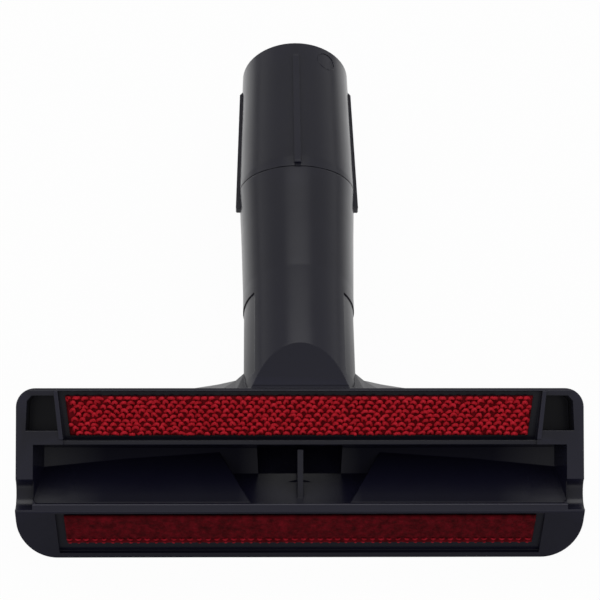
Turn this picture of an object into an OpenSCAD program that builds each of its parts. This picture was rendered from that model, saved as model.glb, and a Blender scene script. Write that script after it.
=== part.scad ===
// Vacuum cleaner upholstery nozzle: a wide moulded head on a slanted tube, with two
// red thread lifter strips on its working face.
// It lies on its back: the front edge of the head and the tube end touch the floor, and
// the working face looks up and forward. X runs along the head, Y towards the tube end.
// Units are millimetres. Inside the modules the head is drawn with its working face up:
// v runs from the rear rim to the front edge, z up out of the working face.

/* [Head] */
// Length of the head
head_width = 190; // [180:1:210]
// Depth of the head from the rear rim to the front edge
head_depth = 57.5; // [55:0.5:60]
// Thickness of the housing behind the working face
head_thick = 18; // [17:0.5:20]
// Corner radius at the rear rim
rear_corner = 6.3; // [4:0.1:9]
// Corner radius at the front edge
front_corner = 12.8; // [9:0.1:16]
// Slope of the front face away from the working plane, degrees
front_tilt = 46; // [42:1:50]

/* [Mouth] */
// Width of the frame at each end of the mouth
end_frame = 5.7; // [5:0.1:9]
// Rear edge of the mouth
mouth_rear = 18.9; // [18.5:0.1:20]
// Height of the rounded front lip above the rim
lip_height = 1.55; // [1:0.05:2.5]
// Radius of the side air scoops
scoop_radius = 5.4; // [5:0.1:7]
// Thickness of the web that stands in the airway
web_thick = 1.9; // [1.2:0.1:3]

/* [Thread lifter strips] */
// Slope of the rear bed, degrees
rear_bed_tilt = 10; // [4:1:14]
// Depth of the front bed below the front face
front_bed_depth = 1.4; // [1:0.1:2.5]
// Depth of the rear strip
rear_strip_depth = 13.4; // [12:0.1:14]
// Depth of the front strip
front_strip_depth = 13.8; // [12:0.1:16]
// Rows of loops on the rear strip
loop_rows = 9; // [5:1:10]
// Height of the rear loops
loop_height = 1.5; // [0.6:0.1:2]
// Height of the front strip's short pile
pile_height = 0.4; // [0.3:0.1:0.9]

/* [Tube] */
// Angle between the tube and the working plane, degrees
tube_angle = 36; // [34:1:40]
// Distance from the top of the facet to the tube end, along the tube
tube_reach = 141.3; // [110:0.1:180]
// Length of the socket that takes the wand
socket_length = 57.3; // [45:0.1:60]
// Distance from the tube end to the seam
seam_back = 58.3; // [50:0.1:66]
// Outer radius at the tube end
end_radius = 19.85; // [19.5:0.05:20.5]
// Outer radius at the seam
seam_radius = 20.95; // [20.5:0.05:21.5]
// Outer radius at the grip
grip_radius = 19.45; // [19:0.05:20]
// Radius of the wand socket
bore_radius = 17.5; // [17:0.1:17.6]
// Width of the four ribs on the socket
rib_width = 2.4; // [1.5:0.1:4]

/* [Colours] */
// Moulded plastic
plastic_colour = [0.12, 0.12, 0.135];
// Rear fabric strip
rear_red = [0.72, 0.08, 0.11];
// Front fabric strip
front_red = [0.55, 0.05, 0.08];

/* [Hidden] */
$fn = 96;

half = head_width / 2;
mouth_half = half - end_frame;

// Front lip: flat on top, with a small round towards the mouth and a large one whose
// tangent is the front face.
lip_r = 1.75;
lip_edge = 0.7;
front_drop = 17.2;
lip_v = head_depth - front_drop;
lip_z = lip_height - lip_r;
face_top = [lip_v + lip_r * sin(front_tilt), lip_z + lip_r * cos(front_tilt)];
face_len = (head_depth - face_top[0]) / cos(front_tilt);
face_end = [head_depth, face_top[1] - face_len * sin(front_tilt)];
mouth_front = lip_v - 1.9;

// Back of the housing. The toe is the edge that the head stands on.
toe = [head_depth - 1.3, 0.4 - head_thick];

// Airway behind the mouth
ceiling = head_thick - 2.3;
end_ceiling = 11.2;
wall_foot = mouth_front - (ceiling - 0.6) / 1.62;

// Beds of the two strips
bed_rear_edge = 1.0;
bed_front_edge = mouth_rear - 1.4;
bed_rear_z = -2.0;
bed_front_z = bed_rear_z - (bed_front_edge - bed_rear_edge) * tan(rear_bed_tilt);
bed_half_rear = half - 13.8;
bed_half_front = bed_half_rear - 2;
front_bed_half = half - 13.2;

// The strips start just below the upper edge of their beds.
bed_gap = 1.9;
front_gap = 1.95;
front_bed_len = face_len - 2.2;
rear_strip_half = bed_half_rear - 2.9;
front_strip_half = front_bed_half - 2.8;
strip_base = 1.3;
sewn_line = 2.3;
sewn_edge = 0.55;

// Tube. s = 0 is at the top of the facet, s = tube_reach at the tube end.
facet_z = -1.0;
facet_v = -15.4;
ax = cos(tube_angle);
az = sin(tube_angle);
axis_v = facet_v + az * grip_radius;
axis_z = facet_z - ax * grip_radius;
socket_s = tube_reach - socket_length;
seam_s = tube_reach - seam_back;
airway_radius = bore_radius - 0.4;
rib_start = tube_reach - 6.7;
seam_tilt = 13;
rib_end = seam_s - 3.9;
side_rib_end = seam_s - 8.1;
shoulder_step = [[21.8, -2.6], [27.6, -1.3], [37.2, 0.2]];
rib_low = end_radius + 1.1;
rib_high = seam_radius + 1.25;

// Position of a point at station s and distance r on the far side of the tube, as [v, z]
function far_point(s, r) = [axis_v - ax * s + az * r, axis_z - az * s - ax * r];

// The lean that puts the toe and the rib on the tube's far side on one floor.
rib_foot = far_point(rib_start - 1.4, rib_low);
lean = atan2(toe[1] - rib_foot[1], toe[0] - rib_foot[0]);
function floor_z(p) = -p[0] * sin(lean) + p[1] * cos(lean);
function floor_y(p) = -p[0] * cos(lean) - p[1] * sin(lean);
drop = floor_z(toe);

// The part is centred in Y between the front edge and the near side of the tube end.
near_end = far_point(tube_reach, 0.6 - end_radius);
y_mid = (floor_y(face_end) + floor_y(near_end)) / 2;

// Extrudes a [v, z] section along X, centred.
module along_x(w) {
    translate([-w / 2, 0, 0]) rotate([90, 0, 90]) linear_extrude(w) mirror([1, 0]) children();
}

// Extrudes an [x, v] outline along z.
module upward(z0, z1) {
    translate([0, 0, z0]) linear_extrude(z1 - z0) mirror([0, 1]) children();
}

// Extrudes an [x, z] view of the head along v.
module along_v(v0, v1) {
    translate([0, -v0, 0]) rotate([90, 0, 0]) linear_extrude(v1 - v0) children();
}

// Local z runs along the tube away from the head, local +y is its far side.
module on_tube(s) {
    translate([0, -axis_v + ax * s, axis_z - az * s]) rotate([-90 - tube_angle, 0, 0]) children();
}

// A frame on the front face: x along the head, y up the slope, z out of the face.
module on_front_face() {
    translate([0, -face_top[0], face_top[1]]) rotate([front_tilt, 0, 0]) children();
}

// A frame on the floor of the rear bed: y runs towards the mouth as -y.
module on_rear_bed() {
    translate([0, -bed_rear_edge, bed_rear_z]) rotate([rear_bed_tilt, 0, 0]) children();
}

module rounded_plan(w, d, rr, rf) {
    translate([-w / 2, rr]) square([w, d - rr - rf]);
    translate([-w / 2 + rr, 0]) square([w - 2 * rr, d / 2]);
    translate([-w / 2 + rf, d / 2]) square([w - 2 * rf, d / 2]);
    for (s = [-1, 1]) {
        translate([s * (w / 2 - rr), rr]) circle(rr);
        translate([s * (w / 2 - rf), d - rf]) circle(rf);
    }
}

// Section across the head: flat rim, front lip, sloping front face, closed back.
module head_section() {
    polygon([[0, -0.8], [0.8, 0], [lip_v, 0], face_top, face_end,
        [head_depth, face_end[1] - 1], toe, [toe[0] - 9, -head_thick],
        [9, -head_thick], [1.6, -head_thick + 4], [0, -9]]);
    translate([lip_v, lip_z]) circle(lip_r);
    translate([mouth_front + lip_edge, lip_height - lip_edge]) circle(lip_edge);
    translate([mouth_front + lip_edge, -2]) square([lip_v - mouth_front - lip_edge, 2 + lip_height]);
    translate([mouth_front, -2]) square([lip_edge, 2 + lip_height - lip_edge]);
}

// View along the tube side: the two ends of the back are rounded.
module head_view() {
    r = 9;
    translate([-half, -head_thick + r]) square([head_width, head_thick]);
    translate([-half + r, -head_thick]) square([head_width - 2 * r, head_thick]);
    for (s = [-1, 1]) translate([s * (half - r), -head_thick + r]) circle(r);
}

module head_block() {
    intersection() {
        along_x(head_width + 4) head_section();
        upward(-40, 10) rounded_plan(head_width, head_depth, rear_corner, front_corner);
        along_v(-2, head_depth + 2) head_view();
    }
}

// Section of the hood's shoulder that reaches back to v = back.
module shoulder_section(back) {
    polygon([[back, -12], [max(back, 0) + 1, -3], [30, -4], [36, 0.5 - head_thick],
        [12, -head_thick - 0.3], [back + 2.6, -16.2]]);
}

// The hood that leads from the tube into the back of the head. Its shoulders fall away in
// three steps, steep beside the tube and flat towards the ends.
module hood() {
    core = grip_radius - 0.5;
    hull() {
        on_tube(20) cylinder(h = 0.5, r = core, $fn = 48);
        on_tube(-6) cylinder(h = 0.5, r = core, $fn = 48);
        along_x(27) polygon([[8, -7], [30, -9], [31, -head_thick - 1.5], [22, -head_thick - 4]]);
    }
    hull() {
        on_tube(0.3) linear_extrude(0.5) intersection() {
            circle(core, $fn = 48);
            translate([-30, -1]) square([60, 31]);
        }
        along_x(2 * shoulder_step[0][0]) shoulder_section(shoulder_step[0][1]);
    }
    for (k = [1, 2]) hull() {
        along_x(2 * shoulder_step[k - 1][0]) shoulder_section(shoulder_step[k - 1][1]);
        along_x(2 * shoulder_step[k][0]) shoulder_section(shoulder_step[k][1]);
    }
}

// Outer wall of the tube: grip and socket, one turned profile.
module tube_wall() {
    on_tube(0) rotate_extrude($fn = 128) polygon([[0, -24], [grip_radius, -24],
        [grip_radius, 34], [grip_radius + 0.75, seam_s - 21], [seam_radius, seam_s],
        [end_radius, tube_reach - 0.7], [end_radius - 0.6, tube_reach], [0, tube_reach]]);
}

// The fine groove round the tube, a little askew.
module seam() {
    difference() {
        on_tube(seam_s) rotate([seam_tilt, 0, 0])
            cylinder(h = 0.4, r = seam_radius + 6, center = true);
        on_tube(seam_s - 9) cylinder(h = 18, r = seam_radius - 0.45, $fn = 128);
    }
}

// Four ribs along the socket, higher towards the head, with a blunt end past the seam. The
// two at the sides are a little longer.
module socket_ribs() {
    for (k = [0:3]) {
        end = k % 2 == 1 ? side_rib_end : rib_end;
        start = k % 2 == 1 ? rib_start - 1.7 : rib_start;
        on_tube(0) rotate([0, 0, 90 * k]) translate([rib_width / 2, 0, 0]) rotate([0, -90, 0])
            linear_extrude(rib_width) polygon([[end, 17.8], [end, rib_high - 0.3],
                [end + 0.5, rib_high], [start - 1.4, rib_low],
                [start, end_radius + 0.1], [start, 17.8]]);
    }
}

// Shallow grip panel on each side of the tube.
module grip_panels() {
    intersection() {
        on_tube(-6.7) difference() {
            cylinder(h = 34.2, r = grip_radius + 2, $fn = 128);
            translate([0, 0, -1]) cylinder(h = 37, r = grip_radius - 0.35, $fn = 128);
        }
        union() for (s = [-1, 1])
            on_tube(-8) translate([s * 20.4 - 5, -30, 0]) cube([10, 60, 37]);
    }
}

// Everything of the tube that would stand above the facet is cut off, so that the tube
// clears the fabric which the head slides on.
module tube_outside() {
    difference() {
        union() {
            difference() {
                tube_wall();
                grip_panels();
                seam();
            }
            hood();
        }
        translate([-half, -30, facet_z]) cube([head_width, 100, 60]);
        translate([-half, -head_depth, facet_z - 0.2]) cube([head_width, head_depth + 1, 60]);
    }
    socket_ribs();
}

// Bore of the wand socket and the airway behind it, drawn on until the mouth.
module tube_inside() {
    on_tube(socket_s) cylinder(h = socket_length + 1, r = bore_radius, $fn = 128);
    on_tube(tube_reach - 1) cylinder(h = 1.5, r1 = bore_radius, r2 = bore_radius + 0.75, $fn = 128);
    intersection() {
        on_tube(-45) cylinder(h = socket_s + 45.5, r = airway_radius, $fn = 128);
        along_x(60) polygon([[34, -6.6], [mouth_rear + 1, -6.9], [0.5, -5.4], [-1, -3.4], [-30, -3.4],
            [-140, 90], [-140, -140], [20, -60], [31, -20], [32, -10]]);
    }
    // Funnel: the far wall opens a little more towards the mouth.
    hull() {
        on_tube(19) cylinder(h = 0.5, r = airway_radius - 0.2, $fn = 48);
        along_x(28) polygon([[12, -7.5], [wall_foot, -8], [wall_foot, -ceiling - 0.8],
            [22, -head_thick - 1.2]]);
    }
}

// Mouth and the chamber behind it. Its front wall is one long slope, and in the middle a
// steeper one that turns the air into the tube.
module mouth_inside() {
    rear_wall = [[mouth_rear, 6], [mouth_rear, -2], [mouth_rear + 0.5, -6],
        [mouth_rear + 1.4, -ceiling]];
    intersection() {
        union() {
            along_x(2 * mouth_half) polygon(concat(rear_wall, [[mouth_rear + 2.6, -ceiling],
                [mouth_front, -0.6], [mouth_front, 6]]));
            intersection() {
                along_x(64) polygon(concat(rear_wall, [[wall_foot, -ceiling],
                    [mouth_front, -0.6], [mouth_front, 6]]));
                upward(-30, 10) polygon([[-30, mouth_rear - 1], [30, mouth_rear - 1],
                    [16, mouth_front + 1], [-16, mouth_front + 1]]);
            }
        }
        along_v(10, 50) polygon([[-mouth_half, 7], [-mouth_half, -1], [-mouth_half + 2.8, -end_ceiling],
            [-58, -13.6], [-22, -ceiling], [22, -ceiling], [58, -13.6],
            [mouth_half - 2.8, -end_ceiling], [mouth_half, -1], [mouth_half, 7]]);
        upward(-30, 10) translate([0, 10]) rounded_plan(2 * mouth_half, mouth_front - 10, 1, 1.8);
    }
}

// Web in the middle of the airway.
module web() {
    along_x(web_thick) polygon([[20.6, -3.4], [mouth_front - 0.4, -3.2], [mouth_front + 1, -4.5],
        [wall_foot + 1.6, -ceiling - 1], [20.6, -ceiling - 5.2]]);
}

// Rear bed, with slanted ends, and the lowered lip between it and the mouth.
module rear_bed() {
    intersection() {
        along_x(head_width - 20) polygon([[bed_rear_edge, 6], [bed_rear_edge, bed_rear_z],
            [bed_front_edge, bed_front_z], [bed_front_edge, -0.9], [mouth_rear + 0.2, -1.3],
            [mouth_rear + 0.2, 6]]);
        upward(-12, 8) polygon([[-bed_half_rear, 0], [bed_half_rear, 0],
            [bed_half_front, mouth_rear + 0.1], [-bed_half_front, mouth_rear + 0.1]]);
    }
}

// Thin slanted ribs that close the ends of the rear bed.
module bed_end_ribs() {
    for (s = [0, 1]) mirror([s, 0, 0])
        upward(-3, 0.7) polygon([[bed_half_rear, 0.9], [bed_half_rear + 1.3, 0.9],
            [bed_half_front + 1.45, 17.1], [bed_half_front + 0.05, 17.1]]);
}

// Core-out pockets in the rear corners.
module corner_pockets() {
    for (s = [0, 1]) mirror([s, 0, 0])
        upward(-12, 8) difference() {
            polygon([[bed_half_rear + 1.25, 2.5], [half - 5.2, 2.5], [half - 3.6, 4.3],
                [half - 3.2, 14.2], [bed_half_rear - 0.2, 14.2]]);
        }
}

module front_bed() {
    on_front_face() translate([0, 0, -front_bed_depth]) linear_extrude(6)
        polygon([[-front_bed_half, -0.4], [front_bed_half, -0.4],
            [front_bed_half - 0.4, -front_bed_len], [-front_bed_half + 0.4, -front_bed_len]]);
}

// Concave side air inlets in the two end frames.
module side_scoops() {
    for (s = [-1, 1])
        translate([s * (half + 0.5), -mouth_front + 3.2, 2.4]) rotate([0, 90, 0])
            cylinder(h = 2 * end_frame + 1, r = scoop_radius, center = true, $fn = 96);
}

module nozzle_body_shape() {
    difference() {
        union() {
            head_block();
            tube_outside();
        }
        tube_inside();
        mouth_inside();
        rear_bed();
        corner_pockets();
        front_bed();
        side_scoops();
    }
    web();
    bed_end_ribs();
}

// A cloth strip: a [y, z] section drawn along X, with ends that slant by taper.
module strip(half_len, depth, taper) {
    intersection() {
        translate([-half_len, 0, 0]) rotate([90, 0, 90]) linear_extrude(2 * half_len) children();
        linear_extrude(6) polygon([[-half_len, 0], [half_len, 0],
            [half_len - taper, -depth], [-half_len + taper, -depth]]);
    }
}

// Section of the rear strip: one round ridge for each row of loops.
module looped_section() {
    pitch = rear_strip_depth / loop_rows;
    r = 0.54 * pitch;
    ridge_z = strip_base + loop_height - r;
    translate([-rear_strip_depth, 0]) square([rear_strip_depth, ridge_z + 0.05]);
    for (k = [0:loop_rows - 1])
        translate([-(k + 0.5) * pitch, ridge_z]) circle(r);
}

// Section of the front strip: short pile, the sewn line and the edge below it.
module pile_section() {
    top = strip_base + pile_height - 0.2;
    translate([-front_strip_depth, 0]) square([front_strip_depth, top]);
    for (y = [sewn_line, sewn_edge])
        translate([y - front_strip_depth, top - 0.2]) circle(0.45);
}

// Puts the whole nozzle on its back.
module at_rest() {
    translate([0, -y_mid, -drop]) rotate([lean, 0, 0]) children();
}

module nozzle_body() {
    color(plastic_colour) at_rest() nozzle_body_shape();
}

module rear_lint_strip() {
    color(rear_red) at_rest() on_rear_bed() translate([0, -bed_gap, 0])
        strip(rear_strip_half, rear_strip_depth, 1.6) looped_section();
}

module front_lint_strip() {
    color(front_red) at_rest() on_front_face() translate([0, -front_gap, -front_bed_depth])
        strip(front_strip_half, front_strip_depth, 0.4) pile_section();
}

nozzle_body();
rear_lint_strip();
front_lint_strip();
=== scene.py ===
import math
import random

import bmesh
import bpy
from mathutils import Matrix, Vector, noise


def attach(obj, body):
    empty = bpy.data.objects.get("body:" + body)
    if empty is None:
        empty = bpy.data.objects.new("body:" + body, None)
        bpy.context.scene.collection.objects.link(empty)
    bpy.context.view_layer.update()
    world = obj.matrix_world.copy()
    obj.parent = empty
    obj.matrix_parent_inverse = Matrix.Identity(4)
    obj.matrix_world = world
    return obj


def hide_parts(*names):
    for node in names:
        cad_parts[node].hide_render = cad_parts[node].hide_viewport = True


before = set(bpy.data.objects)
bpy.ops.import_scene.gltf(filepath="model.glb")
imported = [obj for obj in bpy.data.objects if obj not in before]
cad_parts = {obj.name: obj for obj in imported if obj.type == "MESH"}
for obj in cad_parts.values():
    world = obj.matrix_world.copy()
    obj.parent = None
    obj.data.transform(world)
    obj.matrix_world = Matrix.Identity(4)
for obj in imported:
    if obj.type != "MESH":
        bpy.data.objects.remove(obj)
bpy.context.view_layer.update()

MM = 0.001
rng = random.Random(41)

# Frames of the part, in mm
LEAN = 31.236            # lean of the nozzle on its back, degrees
REST_SHIFT = (0, -56.675, 44.192)
BED_TILT, BED_EDGE, BED_Z = 10, 1.0, -2.0
FACE_TILT, FACE_V, FACE_Z = 46, 41.559, 1.016
FRONT_BED_DEPTH = 1.4
TUBE_ANGLE, AXIS_V, AXIS_Z = 36, -3.968, -16.735
TUBE_REACH = 141.3


def turn_x(degrees):
    return Matrix.Rotation(math.radians(degrees), 4, "X")


def shift(x, y, z):
    return Matrix.Translation((x, y, z))


REST = shift(*REST_SHIFT) @ turn_x(LEAN)
REAR_BED = REST @ shift(0, -BED_EDGE, BED_Z) @ turn_x(BED_TILT)
FRONT_FACE = REST @ shift(0, -FACE_V, FACE_Z) @ turn_x(FACE_TILT)


def on_tube(s):
    a = math.radians(TUBE_ANGLE)
    return (REST @ shift(0, -AXIS_V + math.cos(a) * s, AXIS_Z - math.sin(a) * s)
            @ turn_x(-90 - TUBE_ANGLE))


# Mesh helpers
def make_piece(name, bm, frame_matrix, material, smooth=True):
    """Turns a bmesh in millimetres of a local frame into an object that rides on the root."""
    bm.normal_update()
    mesh = bpy.data.meshes.new(name)
    bmesh.ops.transform(bm, matrix=Matrix.Scale(MM, 4) @ frame_matrix, verts=bm.verts)
    bmesh.ops.recalc_face_normals(bm, faces=bm.faces)
    for f in bm.faces:
        f.smooth = smooth
    bm.to_mesh(mesh)
    bm.free()
    mesh.materials.append(material)
    obj = bpy.data.objects.new(name, mesh)
    bpy.context.scene.collection.objects.link(obj)
    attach(obj, "root")
    return obj


def sweep(bm, points, radii, sides=7, turn=0.0):
    """Adds a closed tube along points, with round ends."""
    rings = []
    last = None
    for k, p in enumerate(points):
        a = points[max(k - 1, 0)]
        b = points[min(k + 1, len(points) - 1)]
        t = (b - a).normalized()
        side = last if last is not None else t.orthogonal()
        side = (side - t * side.dot(t)).normalized()
        last = side
        up = t.cross(side)
        rings.append([bm.verts.new(p + (side * math.cos(w) + up * math.sin(w)) * radii[k])
                      for w in (turn + 2 * math.pi * i / sides for i in range(sides))])
    for lo, hi in zip(rings, rings[1:]):
        for i in range(sides):
            j = (i + 1) % sides
            bm.faces.new((lo[i], lo[j], hi[j], hi[i]))
    bm.faces.new(list(reversed(rings[0])))
    bm.faces.new(rings[-1])


def slab(bm, half_len, taper, depth, height, nx, ny):
    """Adds a closed cloth slab, flat below, with height(x, y, edge) above and round edges."""
    grid = []
    for j in range(ny + 1):
        v = j / ny
        row = []
        for i in range(nx + 1):
            u = i / nx
            x = (half_len - taper * v) * (2 * u - 1)
            y = -depth * v
            edge = min((half_len - taper * v) - abs(x), -y, depth + y)
            row.append(bm.verts.new((x, y, height(x, y, edge))))
        grid.append(row)
    for j in range(ny):
        for i in range(nx):
            bm.faces.new((grid[j][i], grid[j + 1][i], grid[j + 1][i + 1], grid[j][i + 1]))
    rim = (grid[0] + [r[-1] for r in grid[1:]] + grid[-1][-2::-1]
           + [r[0] for r in grid[-2:0:-1]])
    low = [bm.verts.new((p.co.x, p.co.y, 0.02)) for p in rim]
    for k in range(len(rim)):
        m = (k + 1) % len(rim)
        bm.faces.new((rim[k], rim[m], low[m], low[k]))
    bm.faces.new(list(reversed(low)))


# Materials
def new_material(name):
    mat = bpy.data.materials.new(name)
    mat.use_nodes = True
    nt = mat.node_tree
    return mat, nt, nt.nodes["Principled BSDF"]


def add(nt, kind, **values):
    node = nt.nodes.new(kind)
    for key, value in values.items():
        if key in node.inputs:
            node.inputs[key].default_value = value
        else:
            setattr(node, key, value)
    return node


def noise_tex(nt, scale, detail=3.0, rough=0.55):
    coord = add(nt, "ShaderNodeTexCoord")
    tex = add(nt, "ShaderNodeTexNoise", Scale=scale, Detail=detail, Roughness=rough)
    nt.links.new(coord.outputs["Object"], tex.inputs["Vector"])
    return tex.outputs["Fac"]


def ramp(nt, source, stops):
    node = add(nt, "ShaderNodeValToRGB")
    els = node.color_ramp.elements
    while len(els) < len(stops):
        els.new(0.5)
    for el, (pos, col) in zip(els, stops):
        el.position = pos
        el.color = (*col, 1) if len(col) == 3 else col
    nt.links.new(source, node.inputs["Fac"])
    return node.outputs["Color"]


def grey(v):
    return (v, v, v)


NOOK_REACH = 0.018       # reach of the shade in deep hollows, metres
MOUTH_REAR, MOUTH_FRONT, MOUTH_MID, MOUTH_END = 18.9, 38.4, 9.0, 84.0


def between(nt, source, low, high, start=0.0, end=1.0):
    node = add(nt, "ShaderNodeMapRange")
    nt.links.new(source, node.inputs["Value"])
    for key, value in (("From Min", low), ("From Max", high), ("To Min", start), ("To Max", end)):
        node.inputs[key].default_value = value
    return node.outputs["Result"]


def product(nt, a, b):
    node = add(nt, "ShaderNodeMath", operation="MULTIPLY")
    nt.links.new(a, node.inputs[0])
    nt.links.new(b, node.inputs[1])
    return node.outputs[0]


def mouth_painted_shade(nt):
    """1 on the plastic outside, less in the two halves of the mouth: painted shade that dims the
    reflections there.
    """
    coord = add(nt, "ShaderNodeTexCoord")
    head = add(nt, "ShaderNodeMapping", vector_type="TEXTURE")
    head.inputs["Location"].default_value = [MM * c for c in REST_SHIFT]
    head.inputs["Rotation"].default_value = (math.radians(LEAN), 0, 0)
    nt.links.new(coord.outputs["Object"], head.inputs["Vector"])
    split = add(nt, "ShaderNodeSeparateXYZ")
    nt.links.new(head.outputs["Vector"], split.inputs[0])
    side = add(nt, "ShaderNodeMath", operation="ABSOLUTE")
    nt.links.new(split.outputs["X"], side.inputs[0])
    off_middle = product(nt, between(nt, side.outputs[0], MM * MOUTH_MID, MM * (MOUTH_MID + 12)),
                         between(nt, side.outputs[0], MM * (MOUTH_END - 18), MM * MOUTH_END, 1.0, 0.0))
    below_rim = between(nt, split.outputs["Z"], -0.0012, -0.0004, 1.0, 0.0)
    front = between(nt, split.outputs["Y"], -MM * (MOUTH_FRONT + 0.3), -MM * (MOUTH_FRONT - 0.1))
    rear = between(nt, split.outputs["Y"], -MM * (MOUTH_REAR + 0.1), -MM * (MOUTH_REAR - 0.3), 1.0, 0.0)
    inside = product(nt, product(nt, off_middle, below_rim), product(nt, front, rear))
    return between(nt, inside, 0.0, 1.0, 1.0, 0.18)


def plastic(name, base, rough=0.34):
    """Satin black moulded plastic: fine spark-eroded grain, faint colour drift, soft edges with a
    painted highlight, and painted shade that dims the reflections in hollows and in the mouth."""
    mat, nt, bsdf = new_material(name)
    drift = noise_tex(nt, 26, 4)
    col = ramp(nt, drift, [(0.3, tuple(c * 0.9 for c in base)), (0.72, tuple(c * 1.12 for c in base))])
    # Convex edges get a lighter colour, 1.8 times the base: a painted highlight along the edges.
    edge_shape = add(nt, "ShaderNodeNewGeometry")
    edge = ramp(nt, edge_shape.outputs["Pointiness"], [(0.5, grey(0)), (0.62, grey(1))])
    mix = add(nt, "ShaderNodeMix", data_type="RGBA")
    nt.links.new(edge, mix.inputs["Factor"])
    nt.links.new(col, mix.inputs["A"])
    mix.inputs["B"].default_value = (*[c * 1.8 for c in base], 1)
    nt.links.new(mix.outputs["Result"], bsdf.inputs["Base Color"])
    # The specular level drops where walls are near and inside the mouth: painted shade in the hollows.
    nook = add(nt, "ShaderNodeAmbientOcclusion", samples=8)
    nook.inputs["Distance"].default_value = NOOK_REACH
    painted_hollow_shade = ramp(nt, nook.outputs["AO"], [(0.3, grey(0.24)), (0.8, grey(0.5))])
    nt.links.new(product(nt, painted_hollow_shade, mouth_painted_shade(nt)), bsdf.inputs["Specular IOR Level"])
    sheen = ramp(nt, noise_tex(nt, 60, 5), [(0.3, grey(rough - 0.03)), (0.7, grey(rough + 0.04))])
    nt.links.new(sheen, bsdf.inputs["Roughness"])
    grain = noise_tex(nt, 2600, 2)
    bump = add(nt, "ShaderNodeBump", Strength=0.06, Distance=0.00008)
    nt.links.new(grain, bump.inputs["Height"])
    round_edge = add(nt, "ShaderNodeBevel", Radius=0.00045, samples=6)
    nt.links.new(round_edge.outputs["Normal"], bump.inputs["Normal"])
    nt.links.new(bump.outputs["Normal"], bsdf.inputs["Normal"])
    bsdf.inputs["IOR"].default_value = 1.5
    return mat


def yarn(name, dark, mid, light, fine, bump_depth, sheen):
    """Dyed synthetic yarn: lighter and darker filaments, deep shade between them."""
    mat, nt, bsdf = new_material(name)
    patch = noise_tex(nt, 420, 4, 0.6)
    col = ramp(nt, patch, [(0.28, dark), (0.5, mid), (0.74, light)])
    nt.links.new(col, bsdf.inputs["Base Color"])
    bsdf.inputs["Roughness"].default_value = 0.85
    bsdf.inputs["Specular IOR Level"].default_value = 0.12
    bsdf.inputs["Sheen Weight"].default_value = sheen
    bsdf.inputs["Sheen Roughness"].default_value = 0.4
    bsdf.inputs["Sheen Tint"].default_value = (*light, 1)
    strands = noise_tex(nt, fine, 3, 0.7)
    bump = add(nt, "ShaderNodeBump", Strength=0.5, Distance=bump_depth)
    nt.links.new(strands, bump.inputs["Height"])
    nt.links.new(bump.outputs["Normal"], bsdf.inputs["Normal"])
    return mat


black = plastic("satin_black_moulding", (0.0066, 0.0064, 0.0150), 0.23)
loop_red = yarn("rear_loop_yarn", (0.39, 0.009, 0.017), (0.56, 0.015, 0.029), (0.71, 0.027, 0.048),
                5200, 0.00012, 0.04)
ground_red = yarn("rear_ground_cloth", (0.10, 0.002, 0.005), (0.17, 0.004, 0.008),
                  (0.25, 0.006, 0.014), 4200, 0.0001, 0.0)
velvet_red = yarn("front_pile", (0.045, 0.0006, 0.002), (0.105, 0.0014, 0.005), (0.19, 0.003, 0.01),
                  2100, 0.0007, 0.0)
stitch_red = yarn("front_stitches", (0.23, 0.005, 0.012), (0.35, 0.009, 0.02), (0.48, 0.015, 0.032),
                  5200, 0.0001, 0.03)

# Nozzle body
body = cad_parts["nozzle_body"]
body.data.materials.clear()
body.data.materials.append(black)

# A plain moulded ring near the end of the tube, beside the rib that faces the camera.
RING_S, RING_ANGLE, RING_R, RING_WIRE = TUBE_REACH - 6.9, 145.0, 3.8, 0.15
TUBE_R_AT_RING = 20.0


def moulded_ring():
    bm = bmesh.new()
    turns, sides = 48, 8
    rings = []
    for k in range(turns):
        w = 2 * math.pi * k / turns
        ring = []
        for i in range(sides):
            q = 2 * math.pi * i / sides
            r = RING_R + RING_WIRE * math.cos(q)
            across, along = r * math.cos(w), r * math.sin(w)
            rad = TUBE_R_AT_RING + RING_WIRE * 0.8 * math.sin(q)
            around = math.radians(RING_ANGLE) + across / TUBE_R_AT_RING
            ring.append(bm.verts.new((rad * math.sin(around), rad * math.cos(around), along)))
        rings.append(ring)
    for a, b in zip(rings, rings[1:] + rings[:1]):
        for i in range(sides):
            j = (i + 1) % sides
            bm.faces.new((a[i], a[j], b[j], b[i]))
    piece = make_piece("moulded_ring", bm, on_tube(RING_S), black)
    return piece


moulded_ring()

# Rear strip: knitted loops
REAR_HALF, REAR_TAPER, REAR_DEPTH, REAR_GROUND = 78.5, 1.6, 13.4, 1.1
REAR_STRIP = REAR_BED @ shift(-0.3, -1.5, 0)
LOOP_PITCH, LOOP_ROWS = 2.86, 9
LOOP_HIGH, LOOP_WIDE, LOOP_REACH, YARN_R = 1.15, 1.06, 1.3, 0.48


def rear_half_at(y):
    return REAR_HALF - REAR_TAPER * (-y / REAR_DEPTH)


def ground_height(x, y, edge):
    lump = noise.noise(Vector((x * 0.9, y * 0.9, 3.0))) * 0.14
    return (REAR_GROUND + lump) * min(1.0, 0.55 + edge * 0.6)


def rear_ground():
    bm = bmesh.new()
    slab(bm, REAR_HALF, REAR_TAPER, REAR_DEPTH, ground_height, 240, 22)
    piece = make_piece("rear_strip_ground", bm, REAR_STRIP, ground_red)
    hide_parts("rear_lint_strip")


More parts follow.
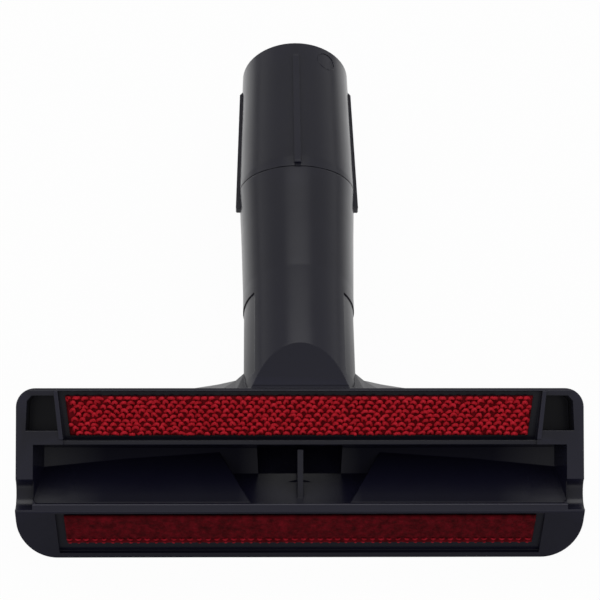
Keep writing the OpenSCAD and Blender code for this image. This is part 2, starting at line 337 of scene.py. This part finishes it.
def rear_loops():
    """Offset rows of yarn arches, each a little different."""
    bm = bmesh.new()
    step = REAR_DEPTH / LOOP_ROWS
    for row in range(LOOP_ROWS):
        y0 = -step * (row + 0.95)
        half = rear_half_at(y0) - 0.6
        count = int(2 * half / LOOP_PITCH)
        offset = (row % 2) * 0.5 * LOOP_PITCH
        for k in range(-1, count + 2):
            x0 = -half + k * LOOP_PITCH + offset + rng.gauss(0, 0.2)
            if abs(x0) > half:
                continue
            cy = y0 + rng.gauss(0, 0.14)
            high = LOOP_HIGH * rng.uniform(0.7, 1.2)
            wide = LOOP_WIDE * rng.uniform(0.75, 1.2)
            spin = rng.gauss(0, 0.2)
            tip = LOOP_REACH * rng.uniform(0.7, 1.2)
            skew = rng.gauss(0, 0.3)
            pts, radii = [], []
            for m in range(10):
                t = m / 9
                arch = math.sin(math.pi * t) ** 0.8
                px = wide * (2 * t - 1) + skew * arch
                py = tip * arch
                pz = REAR_GROUND - 0.35 + (high + 0.35) * arch
                cs, sn = math.cos(spin), math.sin(spin)
                x, y = x0 + px * cs - py * sn, cy + px * sn + py * cs
                x = max(-half, min(half, x))
                y = max(-REAR_DEPTH + YARN_R, min(-YARN_R, y))
                pts.append(Vector((x, y, pz)))
                radii.append(YARN_R * (0.85 + 0.3 * arch) * rng.uniform(0.88, 1.12))
            sweep(bm, pts, radii, 7, rng.uniform(0, 1))
    piece = make_piece("rear_strip_loops", bm, REAR_STRIP, loop_red)


rear_ground()
rear_loops()

# Front strip: short pile
FRONT_HALF, FRONT_TAPER, FRONT_DEPTH, FRONT_PILE = 79.0, 0.4, 13.4, 1.4
STITCH_PITCH, STITCH_Y = 2.92, -11.1
FRONT_STRIP = FRONT_FACE @ shift(0, -2.35, -FRONT_BED_DEPTH)


def pile_height(x, y, edge):
    tuft = noise.noise(Vector((x * 1.3, y * 1.3, 9.0))) * 0.26
    tuft += noise.noise(Vector((x * 3.1, y * 3.1, 2.0))) * 0.22
    seam = math.exp(-((y - STITCH_Y) / 0.55) ** 2) * 0.35
    return (FRONT_PILE + tuft - seam) * min(1.0, 0.6 + edge * 0.7)


def front_pile():
    bm = bmesh.new()
    slab(bm, FRONT_HALF, FRONT_TAPER, FRONT_DEPTH, pile_height, 440, 38)
    piece = make_piece("front_strip_pile", bm, FRONT_STRIP, velvet_red)
    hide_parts("front_lint_strip")


def front_stitches():
    """The sewn line along the lower edge, and the overlocked selvedge under it."""
    bm = bmesh.new()
    for y_line, long, rad, high in ((STITCH_Y, 0.82, 0.34, 1.42), (STITCH_Y - 1.75, 0.6, 0.3, 1.15)):
        half = FRONT_HALF - FRONT_TAPER * (-y_line / FRONT_DEPTH) - 0.9
        count = int(2 * half / STITCH_PITCH)
        for k in range(count + 1):
            x0 = -half + k * STITCH_PITCH + rng.uniform(-0.2, 0.2)
            spin = rng.uniform(-0.2, 0.2)
            size = rng.uniform(0.8, 1.15)
            pts, radii = [], []
            for m in range(7):
                t = m / 6
                arch = math.sin(math.pi * t)
                px = long * size * (2 * t - 1)
                pts.append(Vector((x0 + px, y_line + px * spin, high - 0.25 + 0.42 * arch)))
                radii.append(rad * (0.75 + 0.35 * arch))
            sweep(bm, pts, radii, 7)
    piece = make_piece("front_strip_stitches", bm, FRONT_STRIP, stitch_red)


front_pile()
front_stitches()

# Floor, light and camera
HORIZON, DOME_BACK, DOME_FRONT = 0.6, 0.46, 0.42
CARD_LIGHT = 0.16
GLOW_ALONG = [(0.065, grey(0.4)), (0.13, grey(1)), (0.3, grey(1)), (0.55, grey(0.55))]


def floor_material():
    mat, nt, bsdf = new_material("pale_floor")
    out = nt.nodes["Material Output"]
    bsdf.inputs["Base Color"].default_value = (0.86, 0.86, 0.86, 1)
    bsdf.inputs["Roughness"].default_value = 0.9
    bsdf.inputs["Specular IOR Level"].default_value = 0.0
    path = add(nt, "ShaderNodeLightPath")
    seen = add(nt, "ShaderNodeMath", operation="MAXIMUM")
    nt.links.new(path.outputs["Is Camera Ray"], seen.inputs[0])
    nt.links.new(path.outputs["Is Glossy Ray"], seen.inputs[1])
    seen2 = add(nt, "ShaderNodeMath", operation="MAXIMUM")
    nt.links.new(seen.outputs[0], seen2.inputs[0])
    nt.links.new(path.outputs["Is Transmission Ray"], seen2.inputs[1])
    share = add(nt, "ShaderNodeMath", operation="MULTIPLY")
    share.inputs[1].default_value = 0.97
    nt.links.new(seen2.outputs[0], share.inputs[0])
    white = add(nt, "ShaderNodeEmission")
    white.inputs["Color"].default_value = (1, 1, 1, 1)
    place = add(nt, "ShaderNodeNewGeometry")
    split = add(nt, "ShaderNodeSeparateXYZ")
    nt.links.new(place.outputs["Position"], split.inputs[0])
    along = ramp(nt, between(nt, split.outputs["Y"], -0.1, 0.9), GLOW_ALONG)
    side = add(nt, "ShaderNodeMath", operation="ABSOLUTE")
    nt.links.new(split.outputs["X"], side.inputs[0])
    glow = product(nt, along, between(nt, side.outputs[0], 0.05, 0.15, 1.0, 0.45))
    strength = add(nt, "ShaderNodeMix", data_type="FLOAT")
    nt.links.new(path.outputs["Is Glossy Ray"], strength.inputs["Factor"])
    strength.inputs["A"].default_value = 1.0
    nt.links.new(glow, strength.inputs["B"])
    nt.links.new(strength.outputs["Result"], white.inputs["Strength"])
    mix = add(nt, "ShaderNodeMixShader")
    nt.links.new(share.outputs[0], mix.inputs["Fac"])
    nt.links.new(bsdf.outputs["BSDF"], mix.inputs[1])
    nt.links.new(white.outputs["Emission"], mix.inputs[2])
    nt.links.new(mix.outputs["Shader"], out.inputs["Surface"])
    return mat


def add_floor():
    bm = bmesh.new()
    bmesh.ops.create_circle(bm, cap_ends=True, segments=96, radius=6.0)
    bmesh.ops.translate(bm, verts=bm.verts, vec=(0, 0, -0.0002))
    mesh = bpy.data.meshes.new("studio_floor")
    bm.to_mesh(mesh)
    bm.free()
    mesh.materials.append(floor_material())
    obj = bpy.data.objects.new("studio_floor", mesh)
    bpy.context.scene.collection.objects.link(obj)


def add_world():
    """Pale round the horizon and behind, dimmer overhead on the side that faces the camera."""
    world = bpy.data.worlds.new("studio_air")
    bpy.context.scene.world = world
    world.use_nodes = True
    nt = world.node_tree
    coord = add(nt, "ShaderNodeTexCoord")
    split = add(nt, "ShaderNodeSeparateXYZ")
    nt.links.new(coord.outputs["Generated"], split.inputs[0])
    turned = add(nt, "ShaderNodeMapRange")
    turned.inputs["From Min"].default_value = -1.0
    nt.links.new(split.outputs["Y"], turned.inputs["Value"])
    dome = ramp(nt, turned.outputs["Result"], [(0.3, grey(DOME_FRONT)), (0.62, grey(DOME_BACK))])
    height = ramp(nt, split.outputs["Z"], [(0.08, grey(0)), (0.4, grey(1))])
    mix = add(nt, "ShaderNodeMix", data_type="RGBA")
    mix.inputs["A"].default_value = (*grey(HORIZON), 1)
    nt.links.new(height, mix.inputs["Factor"])
    nt.links.new(dome, mix.inputs["B"])
    nt.links.new(mix.outputs["Result"], nt.nodes["Background"].inputs["Color"])


def add_grey_card():
    """A grey card in front of the nozzle that only reflections see, as in a studio."""
    bm = bmesh.new()
    bm.faces.new([bm.verts.new((x, y, 0.0004)) for x, y in
                  ((-0.5, -1.2), (0.5, -1.2), (0.5, -0.07), (-0.5, -0.07))])
    mesh = bpy.data.meshes.new("grey_card")
    bm.to_mesh(mesh)
    bm.free()
    mat, nt, bsdf = new_material("grey_card")
    bsdf.inputs["Base Color"].default_value = (0.01, 0.01, 0.01, 1)
    bsdf.inputs["Roughness"].default_value = 1.0
    bsdf.inputs["Specular IOR Level"].default_value = 0.0
    bsdf.inputs["Emission Color"].default_value = (1, 1, 1, 1)
    bsdf.inputs["Emission Strength"].default_value = CARD_LIGHT
    mesh.materials.append(mat)
    obj = bpy.data.objects.new("grey_card", mesh)
    for ray in ("camera", "diffuse", "transmission", "shadow", "volume_scatter"):
        setattr(obj, "visible_" + ray, False)
    bpy.context.scene.collection.objects.link(obj)


def area_lamp(name, place, target, size, radiance):
    data = bpy.data.lights.new(name, "AREA")
    data.shape = "RECTANGLE"
    data.size, data.size_y = size
    data.energy = radiance * math.pi * size[0] * size[1]
    obj = bpy.data.objects.new(name, data)
    obj.location = place
    obj.rotation_euler = (Vector(target) - Vector(place)).to_track_quat("-Z", "Y").to_euler()
    bpy.context.scene.collection.objects.link(obj)


def add_camera():
    data = bpy.data.cameras.new("photo_camera")
    data.sensor_width = 36.0
    data.lens = 132.49
    data.shift_x = -0.0009
    obj = bpy.data.objects.new("photo_camera", data)
    obj.location = (-0.01581, -0.44167, 0.67542)
    obj.rotation_euler = [math.radians(a) for a in (33.671, -1.0369, -0.6511)]
    bpy.context.scene.collection.objects.link(obj)
    bpy.context.scene.camera = obj


add_floor()
add_world()
add_grey_card()
area_lamp("top_back", (0, 0.5, 1.15), (0, 0, 0.02), (0.9, 0.7), 1.25)
area_lamp("top_left", (-0.95, -0.15, 0.85), (0, -0.03, 0.03), (0.5, 0.5), 1.2)
area_lamp("top_right", (0.95, -0.15, 0.85), (0, -0.03, 0.03), (0.5, 0.5), 1.2)
add_camera()

scene = bpy.context.scene
scene.view_settings.view_transform = "Standard"
